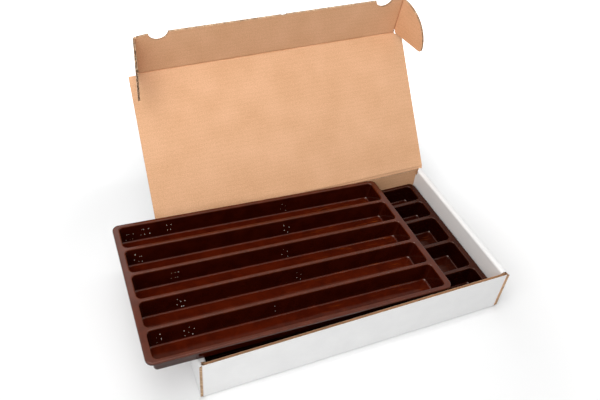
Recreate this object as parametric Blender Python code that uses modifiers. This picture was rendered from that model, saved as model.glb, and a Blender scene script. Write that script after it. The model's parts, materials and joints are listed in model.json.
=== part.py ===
"""A roll-end, tuck-front mailer box of corrugated board, its lid open, with two moulded plastic trays.

Metres, +Z up. The origin is the middle of the base's underside. +X runs along the box, the front
wall faces -Y, and the lid hinges on the back wall. Each panel of the board between two creases is
an object of its own. A fold that never moves is a mitred corner with a round outside, and a crease
that moves is a pair of noses on one axis.
"""

import math

import bmesh
import bpy
from mathutils import Matrix, Vector

# Box
BOX_LENGTH = 0.400
BOX_WIDTH = 0.210
BOX_HEIGHT = 0.0655
BOARD = 0.003
GAP = 0.0003
PLY_GAP = 0.0004
OVERRUN = 0.010
WELD = 0.00001

# Folds and creases
FOLD_ANGLE = math.radians(90)
FOLD_STEPS = 3
FOLD_SET_BACK = GAP * math.cos(FOLD_ANGLE / 2)
CREASE_SET_BACK = GAP / 2

# Double side walls: outer ply, corner flaps, inner ply, and the band rolled over their top
WALL_STACK = 3 * BOARD + 2 * PLY_GAP
BAND_FRONT_GAP = 0.0015
BAND_BACK_GAP = 0.0005
INNER_WALL_END_GAP = 0.0015
TAB_LENGTH = 0.030
TAB_SPREAD = 0.096
TAB_END_GAP = 0.001
TAB_CORNER = 0.0015
CORNER_FLAP_LENGTH = 0.085
CORNER_FLAP_ROUND = 0.014
CORNER_FLAP_DROP = 0.003
ROUND_STEPS = 5

# Lid, tuck flap and ears
LID_SLACK = 0.0015
LID_END_GAP = 0.0005
LID_DEPTH = BOX_WIDTH - 2 * BOARD - LID_SLACK
LID_HALF = BOX_LENGTH / 2 - LID_END_GAP
FLAP_HEIGHT = 0.0605
FLAP_SHOULDER = 0.018
EAR_WALL_GAP = 0.0004
EAR_AXIS = BOX_LENGTH / 2 - WALL_STACK - BOARD / 2 - EAR_WALL_GAP
EAR_SET_BACK = BOARD / 2 + GAP
EAR_RADIUS = 0.0562
EAR_TIP_ROUND = 0.004
EAR_STEPS = 14
NOTCH_SPREAD = 0.316
NOTCH_WIDTH = 0.026
NOTCH_DEPTH = 0.0105
NOTCH_SIDES = 48

# How the folded panels stand in the photograph
LID_OPEN_ANGLE = math.radians(126.1)
FLAP_FOLD_ANGLE = math.radians(45)
LEFT_EAR_FOLD_ANGLE = math.radians(82)
RIGHT_EAR_FOLD_ANGLE = math.radians(75)

# Trays. Stacked, the two fill the box from the clear space over its base up to its shut lid
CLEAR_OF_BASE = 0.0097
STACK_GAP = 0.0005
TRAY_HEIGHT = (BOX_HEIGHT - BOARD - CLEAR_OF_BASE - GAP - STACK_GAP) / 2
TRAY_SHEET = 0.0008
TRAY_END_GAP = 0.0017
TRAY_BACK_GAP = 0.0007
TRAY_FLAP_ROOM = 0.0043
TRAY_LENGTH = BOX_LENGTH - 2 * WALL_STACK - 2 * TRAY_END_GAP
TRAY_WIDTH = BOX_WIDTH - 2 * BOARD - TRAY_BACK_GAP - TRAY_FLAP_ROOM
TRAY_CORNER = 0.0085
TRAY_LIP = 0.0013
TRAY_END_RIM = 0.0080
TRAY_SIDE_RIM = 0.0050
CHANNEL_CORNER = 0.0058
FLOOR_CORNER = 0.0032
FLOOR_ROUND = 0.0022
DRAFT_ANGLE = math.radians(7)
LIP_STEPS = 2
FLOOR_STEPS = 3
CORNER_STEPS = 4
SMOOTH_ANGLE = math.radians(35)

# The lower tray's channels run from the back to the front; the upper tray's are all alike
LOWER_DIVIDER = 0.0047
LOWER_CHANNEL_SHARES = (27, 27, 40, 40, 27)
UPPER_DIVIDER = 0.0041
UPPER_SKIRT = 0.0032
UPPER_CHANNEL_SHARES = (1, 1, 1, 1, 1)
UPPER_TURN_ANGLE = math.radians(1.08)
UPPER_FOOT_X = 0.1070
UPPER_SHIFT_Y = -0.0015

# Places worked out from the sizes above
HINGE_Y = BOX_WIDTH / 2 - BOARD / 2
HINGE_Z = BOX_HEIGHT + GAP + BOARD / 2
PLY_X = BOX_LENGTH / 2 - 2 * BOARD - PLY_GAP
INNER_FACE_X = BOX_LENGTH / 2 - WALL_STACK
LOWER_RIM_Z = BOARD + CLEAR_OF_BASE + TRAY_HEIGHT
LOWER_SKIRT = LOWER_RIM_Z - BOARD - GAP
TRAY_Y = BOX_WIDTH / 2 - BOARD - TRAY_BACK_GAP - TRAY_WIDTH / 2

WHITE_BOARD = (0.84, 0.85, 0.86, 1)
KRAFT_BOARD = (0.60, 0.38, 0.21, 1)
KRAFT_SHADE = (0.47, 0.27, 0.14, 1)
BROWN_PLASTIC = (0.10, 0.022, 0.006, 1)
BOARD_ROUGHNESS = 0.8
PLASTIC_ROUGHNESS = 0.18

# A prism's outline is given in the two axes that follow the one it runs along
ALONG = {
    "X": Matrix(((0, 0, 1), (1, 0, 0), (0, 1, 0))).to_4x4(),
    "Y": Matrix(((0, 1, 0), (0, 0, 1), (1, 0, 0))).to_4x4(),
    "Z": Matrix.Identity(4),
}


def clear_scene():
    for thing in list(bpy.data.objects):
        bpy.data.objects.remove(thing, do_unlink=True)


def new_collection(name):
    made = bpy.data.collections.new(name)
    bpy.context.scene.collection.children.link(made)
    return made


clear_scene()
parts = new_collection("mailer_box")
cutters = new_collection("cutters")


def finish(piece, colour, roughness):
    """Give a piece its own material."""
    material = bpy.data.materials.new(piece.name + "_finish")
    material.use_nodes = True
    surface = material.node_tree.nodes["Principled BSDF"]
    surface.inputs["Base Color"].default_value = colour
    surface.inputs["Roughness"].default_value = roughness
    surface.inputs["Metallic"].default_value = 0
    piece.data.materials.append(material)


def axis_empty(name, location, rotation, parent=None):
    """An empty that stands on a crease and carries the panel that turns about it."""
    empty = bpy.data.objects.new(name, None)
    empty.parent = parent
    empty.location = location
    empty.rotation_euler = rotation
    parts.objects.link(empty)
    return empty


def prism(name, outline, along, low, high, home, parent=None):
    """A flat outline, filled and extruded from low to high along X, Y or Z, as a closed mesh."""
    curve = bpy.data.curves.new(name, "CURVE")
    curve.dimensions = "2D"
    curve.fill_mode = "BOTH"
    curve.extrude = (high - low) / 2
    spline = curve.splines.new("POLY")
    spline.points.add(len(outline) - 1)
    for point, (a, b) in zip(spline.points, outline):
        point.co = (a, b, 0, 1)
    spline.use_cyclic_u = True
    guide = bpy.data.objects.new(name + "_outline", curve)
    home.objects.link(guide)
    seen = guide.evaluated_get(bpy.context.evaluated_depsgraph_get())
    mesh = bpy.data.meshes.new_from_object(seen)
    bpy.data.objects.remove(guide, do_unlink=True)
    mesh.transform(ALONG[along] @ Matrix.Translation((0, 0, (high + low) / 2)))
    shell = bmesh.new()
    shell.from_mesh(mesh)
    bmesh.ops.remove_doubles(shell, verts=shell.verts, dist=WELD)
    bmesh.ops.recalc_face_normals(shell, faces=shell.faces)
    shell.to_mesh(mesh)
    shell.free()
    made = bpy.data.objects.new(name, mesh)
    made.parent = parent
    home.objects.link(made)
    return made


def combine(piece, cutter, operation):
    """Cut a piece by a helper, or keep only what the two share."""
    cutter.hide_render = True
    cutter.display_type = "WIRE"
    change = piece.modifiers.new(cutter.name, "BOOLEAN")
    change.operation = operation
    change.solver = "EXACT"
    change.object = cutter


def arc(centre, radius, start, sweep, steps):
    """Points round part of a circle, with both of its ends."""
    angles = [start + sweep * step / steps for step in range(steps + 1)]
    return [(centre[0] + radius * math.cos(a), centre[1] + radius * math.sin(a)) for a in angles]


def panel_end(kind, at, way):
    """One end of a panel's section as (along, through) points, from the inner face to the outer.

    A raw end is square. A crease end is a nose on the axis, which lets the panel fold both ways.
    A fold end is half of a round corner about the inner edge, mitred to meet the next panel.
    """
    if kind == "raw":
        return [(at, 0), (at, BOARD)]
    if kind == "crease":
        nose = at - way * CREASE_SET_BACK
        shoulder = nose - way * BOARD / 2
        return [(shoulder, 0), (nose, BOARD / 2), (shoulder, BOARD)]
    edge = at - way * FOLD_SET_BACK
    angles = [FOLD_ANGLE / 2 * (1 - step / FOLD_STEPS) for step in range(FOLD_STEPS + 1)]
    bend = [(edge + way * BOARD * math.sin(a), BOARD * math.cos(a)) for a in angles]
    return [(edge, 0)] + bend


def section(near_kind, near, far_kind, far):
    """A panel's section: its inner face at 0 and its outer face at the board's thickness."""
    return panel_end(near_kind, near, -1)[::-1] + panel_end(far_kind, far, 1)


def base_panel():
    """The floor, folded up on all four sides, with slots for the inner walls' tabs."""
    half_x = BOX_LENGTH / 2 - BOARD
    half_y = BOX_WIDTH / 2 - BOARD
    lengthwise = [(BOARD - w, u) for u, w in section("fold", -half_x, "fold", half_x)]
    crosswise = [(u, BOARD - w) for u, w in section("fold", -half_y, "fold", half_y)]
    piece = prism("base_panel", lengthwise, "Y", -BOX_WIDTH / 2, BOX_WIDTH / 2, parts)
    limit = prism("base_width", crosswise, "X", -BOX_LENGTH / 2, BOX_LENGTH / 2, cutters)
    combine(piece, limit, "INTERSECT")
    for side in (-1, 1):
        near = side * (INNER_FACE_X - GAP)
        far = side * (INNER_FACE_X + BOARD + GAP)
        for place in (-1, 1):
            middle = place * TAB_SPREAD / 2
            reach = TAB_LENGTH / 2 + TAB_END_GAP
            outline = [
                (near, middle - reach),
                (far, middle - reach),
                (far, middle + reach),
                (near, middle + reach),
            ]
            slot = prism("lock_slot", outline, "Z", -OVERRUN, OVERRUN, cutters)
            combine(piece, slot, "DIFFERENCE")
    finish(piece, KRAFT_BOARD, BOARD_ROUGHNESS)


def end_wall(name, way, top_kind, top, colour):
    """The front wall, way -1, or the back wall, way 1. Its ends fold into the corner flaps."""
    inner = BOX_WIDTH / 2 - BOARD
    upright = [(way * (inner + w), u) for u, w in section("fold", BOARD, top_kind, top)]
    plan = [(u, way * (inner + w)) for u, w in section("fold", -PLY_X, "fold", PLY_X)]
    piece = prism(name, upright, "X", -BOX_LENGTH / 2, BOX_LENGTH / 2, parts)
    limit = prism(name + "_length", plan, "Z", -OVERRUN, BOX_HEIGHT + OVERRUN, cutters)
    combine(piece, limit, "INTERSECT")
    finish(piece, colour, BOARD_ROUGHNESS)


def outer_wall(name, side):
    """The outer ply of a side wall. Its raw ends lie flush with the front and back faces."""
    inner = BOX_LENGTH / 2 - BOARD
    top = BOX_HEIGHT - BOARD
    upright = [(u, side * (inner + w)) for u, w in section("fold", BOARD, "fold", top)]
    piece = prism(name, upright, "Y", -BOX_WIDTH / 2, BOX_WIDTH / 2, parts)
    finish(piece, WHITE_BOARD, BOARD_ROUGHNESS)


def top_band(name, side):
    """The band that rolls over the top of a side wall.

    In front it runs out over the outer ply only, and stops behind the front wall elsewhere. At
    the back it is cut off at a slant, clear of the back wall's folded corner.
    """
    floor = BOX_HEIGHT - BOARD
    inner = INNER_FACE_X + BOARD
    outer = BOX_LENGTH / 2 - BOARD
    across = [(floor + w, side * u) for u, w in section("fold", inner, "fold", outer)]
    front = -BOX_WIDTH / 2 + BOARD + BAND_FRONT_GAP
    slant = BOX_WIDTH / 2 - BAND_BACK_GAP
    plan = [
        (side * BOX_LENGTH / 2, -BOX_WIDTH / 2),
        (side * BOX_LENGTH / 2, BOX_WIDTH / 2),
        (side * outer, BOX_WIDTH / 2),
        (side * outer, slant),
        (side * INNER_FACE_X, slant - 2 * BOARD),
        (side * INNER_FACE_X, front),
        (side * outer, front),
        (side * outer, -BOX_WIDTH / 2),
    ]
    piece = prism(name, across, "Y", -BOX_WIDTH / 2, BOX_WIDTH / 2, parts)
    limit = prism(name + "_plan", plan, "Z", floor - OVERRUN, BOX_HEIGHT + OVERRUN, cutters)
    combine(piece, limit, "INTERSECT")
    finish(piece, WHITE_BOARD, BOARD_ROUGHNESS)


def inner_wall(name, side):
    """The inner ply of a side wall, locked in the base by two tabs with rounded corners."""
    foot = BOARD + GAP
    top = BOX_HEIGHT - BOARD
    depths = section("raw", -OVERRUN, "fold", top)
    upright = [(u, side * (INNER_FACE_X + BOARD - w)) for u, w in depths]
    front = -BOX_WIDTH / 2 + BOARD + INNER_WALL_END_GAP
    back = BOX_WIDTH / 2 - BOARD - INNER_WALL_END_GAP
    slant = BOX_WIDTH / 2 - BAND_BACK_GAP - 2 * BOARD
    outline = [(front, BOX_HEIGHT), (front, foot)]
    for place in (-1, 1):
        near = place * TAB_SPREAD / 2 - TAB_LENGTH / 2
        far = near + TAB_LENGTH
        low = GAP + TAB_CORNER
        outline.append((near, foot))
        outline += arc((near + TAB_CORNER, low), TAB_CORNER, math.pi, math.pi / 2, ROUND_STEPS)
        outline += arc((far - TAB_CORNER, low), TAB_CORNER, -math.pi / 2, math.pi / 2, ROUND_STEPS)
        outline.append((far, foot))
    outline += [
        (back, foot),
        (back, BOX_HEIGHT - WALL_STACK),
        (slant, BOX_HEIGHT - BOARD),
        (slant, BOX_HEIGHT),
    ]
    piece = prism(name, upright, "Y", -BOX_WIDTH / 2, BOX_WIDTH / 2, parts)
    ends = sorted((side * (INNER_FACE_X - OVERRUN), side * (INNER_FACE_X + OVERRUN)))
    limit = prism(name + "_outline", outline, "X", ends[0], ends[1], cutters)
    combine(piece, limit, "INTERSECT")
    finish(piece, WHITE_BOARD, BOARD_ROUGHNESS)


def corner_flap(name, side, way):
    """A flap folded from an end wall into the side wall, its free corners rounded to slip in."""
    start = BOX_WIDTH / 2 - BOARD
    tip = start - CORNER_FLAP_LENGTH
    low = BOARD + GAP
    high = BOX_HEIGHT - BOARD - GAP
    lengths = section("fold", -start, "raw", OVERRUN - tip)
    plan = [(side * (PLY_X + w), way * -u) for u, w in lengths]
    piece = prism(name, plan, "Z", low, high, parts)
    edge = tip + CORNER_FLAP_ROUND
    outline = [(start + BOARD, low - GAP), (start + BOARD, high + GAP), (start, high + GAP)]
    upper = (edge, high - CORNER_FLAP_DROP - CORNER_FLAP_ROUND)
    lower = (edge, low + CORNER_FLAP_ROUND)
    outline += arc(upper, CORNER_FLAP_ROUND, math.pi / 2, math.pi / 2, ROUND_STEPS)
    outline += arc(lower, CORNER_FLAP_ROUND, math.pi, math.pi / 2, ROUND_STEPS)
    outline.append((edge, low - GAP))
    ends = sorted((side * (PLY_X - OVERRUN), side * (PLY_X + OVERRUN)))
    limit = prism(name + "_outline", [(way * a, b) for a, b in outline], "X", ends[0], ends[1], cutters)
    combine(piece, limit, "INTERSECT")
    finish(piece, KRAFT_BOARD, BOARD_ROUGHNESS)


def lid_panel(hinge):
    """The lid, drawn as it lies when shut and turned open by the empty on its hinge crease."""
    upright = [(-u, w - BOARD / 2) for u, w in section("crease", 0, "crease", LID_DEPTH)]
    piece = prism("lid_panel", upright, "X", -LID_HALF, LID_HALF, parts, hinge)
    finish(piece, KRAFT_BOARD, BOARD_ROUGHNESS)


def thumb_notch(side, parent):
    """A round bite in the tuck flap's free edge, for a thumb."""
    half = NOTCH_WIDTH / 2
    radius = (half * half + NOTCH_DEPTH * NOTCH_DEPTH) / (2 * NOTCH_DEPTH)
    bpy.ops.mesh.primitive_cylinder_add(
        vertices=NOTCH_SIDES,
        radius=radius,
        depth=BOARD + OVERRUN,
        location=(side * NOTCH_SPREAD / 2, -FLAP_HEIGHT + NOTCH_DEPTH - radius, 0),
    )
    cutter = bpy.context.object
    cutter.name = "thumb_notch"
    for home in list(cutter.users_collection):
        home.objects.unlink(cutter)
    cutters.objects.link(cutter)
    cutter.parent = parent
    return cutter


def tuck_flap(crease):
    """The flap that tucks in behind the front wall. Its free edge drops a little towards its ends."""
    end_height = EAR_SET_BACK + EAR_RADIUS
    upright = [(-u, w - BOARD / 2) for u, w in section("crease", 0, "raw", FLAP_HEIGHT + OVERRUN)]
    across = [(w - BOARD / 2, u) for u, w in section("crease", -EAR_AXIS, "crease", EAR_AXIS)]
    shoulder = EAR_AXIS - FLAP_SHOULDER
    plan = [
        (-EAR_AXIS, OVERRUN),
        (-EAR_AXIS, -end_height),
        (-shoulder, -FLAP_HEIGHT),
        (shoulder, -FLAP_HEIGHT),
        (EAR_AXIS, -end_height),
        (EAR_AXIS, OVERRUN),
    ]
    piece = prism("tuck_flap", upright, "X", -EAR_AXIS, EAR_AXIS, parts, crease)
    ends = prism("tuck_flap_ends", across, "Y", -FLAP_HEIGHT - OVERRUN, OVERRUN, cutters, crease)
    edge = prism("tuck_flap_edge", plan, "Z", -OVERRUN, OVERRUN, cutters, crease)
    combine(piece, ends, "INTERSECT")
    combine(piece, edge, "INTERSECT")
    for side in (-1, 1):
        combine(piece, thumb_notch(side, crease), "DIFFERENCE")
    finish(piece, KRAFT_SHADE, BOARD_ROUGHNESS)


def ear(name, side, crease):
    """A quarter-round ear at an end of the tuck flap, with a small round on its tip."""
    across = [(w - BOARD / 2, side * u) for u, w in section("crease", 0, "raw", EAR_RADIUS + OVERRUN)]
    lean = math.asin(EAR_TIP_ROUND / (EAR_RADIUS - EAR_TIP_ROUND))
    tip = ((EAR_RADIUS - EAR_TIP_ROUND) * math.cos(lean), EAR_TIP_ROUND)
    shape = [(-OVERRUN, 0)]
    shape += arc(tip, EAR_TIP_ROUND, -math.pi / 2, math.pi / 2 + lean, ROUND_STEPS)
    shape += arc((0, 0), EAR_RADIUS, lean, math.pi / 2 - lean, EAR_STEPS)[1:]
    shape.append((-OVERRUN, EAR_RADIUS))
    plan = [(side * a, -EAR_SET_BACK - b) for a, b in shape]
    piece = prism(name, across, "Y", -FLAP_HEIGHT - OVERRUN, OVERRUN, parts, crease)
    limit = prism(name + "_outline", plan, "Z", -OVERRUN, OVERRUN, cutters, crease)
    combine(piece, limit, "INTERSECT")
    finish(piece, KRAFT_SHADE, BOARD_ROUGHNESS)


def rounded_rectangle(half_x, half_y, radius, middle_y):
    """Points round a rectangle with round corners, anticlockwise from its +X side."""
    points = []
    for quarter, (x_way, y_way) in enumerate(((1, 1), (-1, 1), (-1, -1), (1, -1))):
        centre = (x_way * (half_x - radius), middle_y + y_way * (half_y - radius))
        points += arc(centre, radius, quarter * math.pi / 2, math.pi / 2, CORNER_STEPS)
    return points


def ring(shell, points, height):
    """A closed loop of edges at one height."""
    corners = [shell.verts.new((x, y, height)) for x, y in points]
    return [shell.edges.new((corners[i - 1], corners[i])) for i in range(len(corners))]


def channel_profile():
    """How far a channel's wall stands out from its nominal mouth, and how deep, from rim to floor.

    A rounded lip turns down into a drafted wall, and the wall turns into the floor in a fillet.
    """
    depth = TRAY_HEIGHT - TRAY_SHEET
    lip_end = TRAY_LIP * (1 - math.sin(DRAFT_ANGLE))
    lip_out = -lip_end * math.tan(DRAFT_ANGLE)
    mouth = lip_out + TRAY_LIP * math.cos(DRAFT_ANGLE)
    turn = math.pi / 2 - DRAFT_ANGLE
    path = []
    for step in range(LIP_STEPS + 1):
        a = turn * step / LIP_STEPS
        path.append((mouth - TRAY_LIP * math.sin(a), TRAY_LIP * (1 - math.cos(a))))
    wall_end = depth - FLOOR_ROUND * (1 - math.sin(DRAFT_ANGLE))
    wall_out = lip_out - (wall_end - lip_end) * math.tan(DRAFT_ANGLE)
    floor_out = wall_out - FLOOR_ROUND * math.cos(DRAFT_ANGLE)
    for step in range(FLOOR_STEPS + 1):
        a = turn * (1 - step / FLOOR_STEPS)
        path.append((floor_out + FLOOR_ROUND * math.sin(a), depth - FLOOR_ROUND * (1 - math.cos(a))))
    return path


def channel(shell, middle_y, width):
    """One long channel as a loft from its mouth down to its floor. Gives back its mouth."""
    depth = TRAY_HEIGHT - TRAY_SHEET
    loops = []
    for out, down in channel_profile():
        half_x = TRAY_LENGTH / 2 - TRAY_END_RIM + out
        half_y = width / 2 + out
        radius = CHANNEL_CORNER + max(out, 0) - (CHANNEL_CORNER - FLOOR_CORNER) * down / depth
        loops.append(ring(shell, rounded_rectangle(half_x, half_y, radius, middle_y), -down))
    for upper, lower in zip(loops, loops[1:]):
        bmesh.ops.bridge_loops(shell, edges=upper + lower)
    bmesh.ops.contextual_create(shell, geom=loops[-1])
    return loops[0]


def tray_edge(shell, skirt):
    """The rounded outer edge and the skirt turned down from it. Gives back the flat rim's outline."""
    levels = []
    for step in range(LIP_STEPS + 1):
        a = math.pi / 2 * step / LIP_STEPS
        levels.append((-TRAY_LIP * (1 - math.sin(a)), -TRAY_LIP * (1 - math.cos(a))))
    levels.append((0, -skirt))
    loops = []
    for out, height in levels:
        outline = rounded_rectangle(TRAY_LENGTH / 2 + out, TRAY_WIDTH / 2 + out, TRAY_CORNER + out, 0)
        loops.append(ring(shell, outline, height))
    for inner, outer in zip(loops, loops[1:]):
        bmesh.ops.bridge_loops(shell, edges=inner + outer)
    return loops[0]


def channel_rows(shares, divider):
    """The middle and width of each channel, from the back to the front."""
    room = TRAY_WIDTH - 2 * TRAY_SIDE_RIM - (len(shares) - 1) * divider
    edge = TRAY_WIDTH / 2 - TRAY_SIDE_RIM
    rows = []
    for share in shares:
        width = room * share / sum(shares)
        rows.append((edge - width / 2, width))
        edge -= width + divider
    return rows


def moulded_tray(name, shares, divider, skirt, parent=None):
    """A tray formed from one sheet, with its origin in the middle of its rim's top."""
    shell = bmesh.new()
    edges = tray_edge(shell, skirt)
    for middle_y, width in channel_rows(shares, divider):
        edges += channel(shell, middle_y, width)
    bmesh.ops.triangle_fill(shell, use_beauty=True, use_dissolve=False, edges=edges)
    bmesh.ops.recalc_face_normals(shell, faces=shell.faces)
    rim = max(shell.faces, key=lambda face: (face.calc_center_median().z, face.calc_area()))
    if rim.normal.z < 0:
        bmesh.ops.reverse_faces(shell, faces=shell.faces)
    mesh = bpy.data.meshes.new(name)
    shell.to_mesh(mesh)
    shell.free()
    mesh.shade_smooth()
    mesh.set_sharp_from_angle(angle=SMOOTH_ANGLE)
    piece = bpy.data.objects.new(name, mesh)
    parts.objects.link(piece)
    piece.parent = parent
    wall = piece.modifiers.new("sheet", "SOLIDIFY")
    wall.thickness = TRAY_SHEET
    wall.offset = -1
    wall.use_even_offset = True
    finish(piece, BROWN_PLASTIC, PLASTIC_ROUGHNESS)
    return piece


def upper_tray_place():
    """An empty where the upper tray lies: down on the lower tray at its right, up on the left wall.

    Its floor's lowest corner stands on the lower tray's rim, and its underside leans on the round
    inner edge of the left wall's band.
    """
    floor_out = channel_profile()[-1][0]
    half_x = TRAY_LENGTH / 2 - TRAY_END_RIM + floor_out
    half_y = TRAY_WIDTH / 2 - TRAY_SIDE_RIM + floor_out
    run = UPPER_FOOT_X + INNER_FACE_X + BOARD
    rise = LOWER_RIM_Z + GAP - (BOX_HEIGHT - BOARD)
    tilt = math.asin((BOARD + GAP) / math.hypot(run, rise)) - math.atan2(rise, run)
    turn = Matrix.Rotation(tilt, 3, "Y") @ Matrix.Rotation(UPPER_TURN_ANGLE, 3, "Z")
    foot = turn @ Vector((half_x, -half_y, -TRAY_HEIGHT))
    place = Vector((UPPER_FOOT_X - foot.x, UPPER_SHIFT_Y, LOWER_RIM_Z + GAP - foot.z))
    return axis_empty("upper_tray_place", place, turn.to_euler())


base_panel()
end_wall("front_wall", -1, "raw", BOX_HEIGHT, WHITE_BOARD)
end_wall("back_wall", 1, "crease", HINGE_Z, KRAFT_BOARD)
for side, hand in ((-1, "left"), (1, "right")):
    outer_wall(hand + "_outer_wall", side)
    top_band(hand + "_top_band", side)
    inner_wall(hand + "_inner_wall", side)
    corner_flap("front_" + hand + "_corner_flap", side, -1)
    corner_flap("back_" + hand + "_corner_flap", side, 1)

lid_axis = axis_empty("lid_hinge_axis", (0, HINGE_Y, HINGE_Z), (-LID_OPEN_ANGLE, 0, 0))
flap_axis = axis_empty("tuck_flap_axis", (0, -LID_DEPTH, 0), (FLAP_FOLD_ANGLE, 0, 0), lid_axis)
left_axis = axis_empty("left_ear_axis", (-EAR_AXIS, 0, 0), (0, -LEFT_EAR_FOLD_ANGLE, 0), flap_axis)
right_axis = axis_empty("right_ear_axis", (EAR_AXIS, 0, 0), (0, RIGHT_EAR_FOLD_ANGLE, 0), flap_axis)
lid_panel(lid_axis)
tuck_flap(flap_axis)
ear("left_ear", -1, left_axis)
ear("right_ear", 1, right_axis)

# The lower tray stands on its skirt, with its channels hung clear of the base
lower = moulded_tray("lower_tray", LOWER_CHANNEL_SHARES, LOWER_DIVIDER, LOWER_SKIRT)
lower.location = (0, TRAY_Y, LOWER_RIM_Z)
moulded_tray("upper_tray", UPPER_CHANNEL_SHARES, UPPER_DIVIDER, UPPER_SKIRT, upper_tray_place())
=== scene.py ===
# %% [markdown]
# A mailer box of corrugated board, open, with two moulded chocolate-brown trays
#
# The board box is folded from one die-cut blank, and each of its trays is formed from one thin
# plastic sheet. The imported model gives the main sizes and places. This lesson makes the looks
# around it: corrugated board with two liners and a fluted sheet between them, folds that are
# round outside, crushed creases, and thin glossy trays.

import json
import math

import bmesh
import bpy
import numpy as np
from mathutils import Matrix, Vector, noise


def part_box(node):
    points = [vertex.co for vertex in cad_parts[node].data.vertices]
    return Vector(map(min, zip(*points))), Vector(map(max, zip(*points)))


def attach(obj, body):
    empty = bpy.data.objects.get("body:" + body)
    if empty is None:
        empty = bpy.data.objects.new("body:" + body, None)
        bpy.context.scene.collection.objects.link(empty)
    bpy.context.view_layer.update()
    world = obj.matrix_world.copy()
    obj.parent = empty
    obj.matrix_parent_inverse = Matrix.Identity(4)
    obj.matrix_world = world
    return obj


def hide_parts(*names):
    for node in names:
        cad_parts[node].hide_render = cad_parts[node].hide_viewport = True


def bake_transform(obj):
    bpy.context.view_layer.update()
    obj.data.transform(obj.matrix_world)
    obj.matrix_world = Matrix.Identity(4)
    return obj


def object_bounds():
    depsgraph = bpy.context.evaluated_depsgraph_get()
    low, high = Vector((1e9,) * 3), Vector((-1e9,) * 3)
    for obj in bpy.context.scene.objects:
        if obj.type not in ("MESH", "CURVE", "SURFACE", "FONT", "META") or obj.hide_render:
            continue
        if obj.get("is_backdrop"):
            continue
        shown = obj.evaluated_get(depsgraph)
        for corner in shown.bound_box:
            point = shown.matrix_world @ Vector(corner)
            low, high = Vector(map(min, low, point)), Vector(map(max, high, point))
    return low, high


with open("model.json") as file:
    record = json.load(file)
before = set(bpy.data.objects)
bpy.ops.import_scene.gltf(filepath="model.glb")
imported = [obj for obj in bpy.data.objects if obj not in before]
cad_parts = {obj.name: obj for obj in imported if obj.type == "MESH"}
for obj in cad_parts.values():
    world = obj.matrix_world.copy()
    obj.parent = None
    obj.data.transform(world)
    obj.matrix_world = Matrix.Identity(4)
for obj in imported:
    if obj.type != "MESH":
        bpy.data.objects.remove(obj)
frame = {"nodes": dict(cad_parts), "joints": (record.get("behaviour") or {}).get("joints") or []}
cad_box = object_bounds()
bpy.ops.object.select_all(action="DESELECT")

# %% [markdown]
# The driving sizes are read from the solids and the hinges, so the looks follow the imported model
# if it changes. All sizes are in metres. What a solid's box doesn't tell, such as the thickness
# of paper or the place of a tab, has a named value of its own near the piece that needs it.

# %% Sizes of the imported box
base_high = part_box("base_panel")[1]
front_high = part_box("front_wall")[1]
inner_low, inner_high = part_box("right_inner_wall")
corner_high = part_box("front_right_corner_flap")[1]
lid_joint, flap_joint, left_joint, right_joint = frame["joints"][:4]

HALF_LENGTH = base_high.x
HALF_WIDTH = base_high.y
HEIGHT = front_high.z
BOARD = base_high.z
INNER_FACE = inner_low.x
INNER_END = inner_high.y
INNER_FOOT = inner_low.z
FLAP_FACE = corner_high.x
FLAP_TIP = corner_high.y
FLAP_TOP = corner_high.z

X, Y, Z = Vector((1, 0, 0)), Vector((0, 1, 0)), Vector((0, 0, 1))
SNAP = 0.00001
outside = [round(size, 4) for size in (2 * HALF_LENGTH, 2 * HALF_WIDTH, HEIGHT)]
print("box", outside, "board", round(BOARD, 4))

# %% [markdown]
# Shader maths is easier to read as sums than as a web of nodes. The class below wraps a socket, so
# that a plus, minus or times between two of them adds the Math node that does it.


# %% A socket that Python can do sums with
class Signal:
    def __init__(self, nodes, socket):
        self.nodes = nodes
        self.socket = socket

    def maths(self, operation, *others):
        return self.nodes.node("ShaderNodeMath", {"operation": operation}, self, *others)

    def __add__(self, other):
        return self.maths("ADD", other)

    def __sub__(self, other):
        return self.maths("SUBTRACT", other)

    def __mul__(self, other):
        return self.maths("MULTIPLY", other)

    def __rsub__(self, other):
        return (self * -1) + other

    def wave(self):
        return self.maths("SINE")

    def limited(self):
        """Held between 0 and 1."""
        held = {"operation": "ADD", "use_clamp": True}
        return self.nodes.node("ShaderNodeMath", held, self, 0)

    def above(self, low, high):
        """0 below low, 1 above high, and a smooth rise between."""
        smooth = {"interpolation_type": "SMOOTHSTEP"}
        return self.nodes.node("ShaderNodeMapRange", smooth, self, low, high)


# %% [markdown]
# Every node comes from one method. It writes the node's settings first, because they can change
# its sockets, and then links the signals or writes the constants that its sockets get.


# %% A tree of nodes
class Nodes:
    def __init__(self, tree):
        self.tree = tree

    def plug(self, socket, value):
        """Link a signal to a socket, or write a constant on it."""
        if isinstance(value, Signal):
            self.tree.links.new(value.socket, socket)
        elif socket.type == "RGBA":
            socket.default_value = (*value, 1)
        else:
            socket.default_value = value

    def node(self, kind, settings, *values, output=0, **named):
        """Make a node. Its sockets are given in order, or by name with _ for a space."""
        made = self.tree.nodes.new(kind)
        for setting, value in settings.items():
            setattr(made, setting, value)
        for place, value in enumerate(values):
            self.plug(made.inputs[place], value)
        for name, value in named.items():
            self.plug(made.inputs[name.replace("_", " ")], value)
        return Signal(self, made.outputs[output])


# %% [markdown]
# A finish is one material with a Principled shader. Constants are written on the shader's own
# sockets, and what changes over the surface is fed to them. Colours are mixed by a Mix node,
# because a Math node would turn them grey. Its colour sockets share their names with others, so
# they are taken by number.

# %% A finish
MIX_FIRST, MIX_SECOND, MIX_COLOUR = 6, 7, 2


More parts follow.
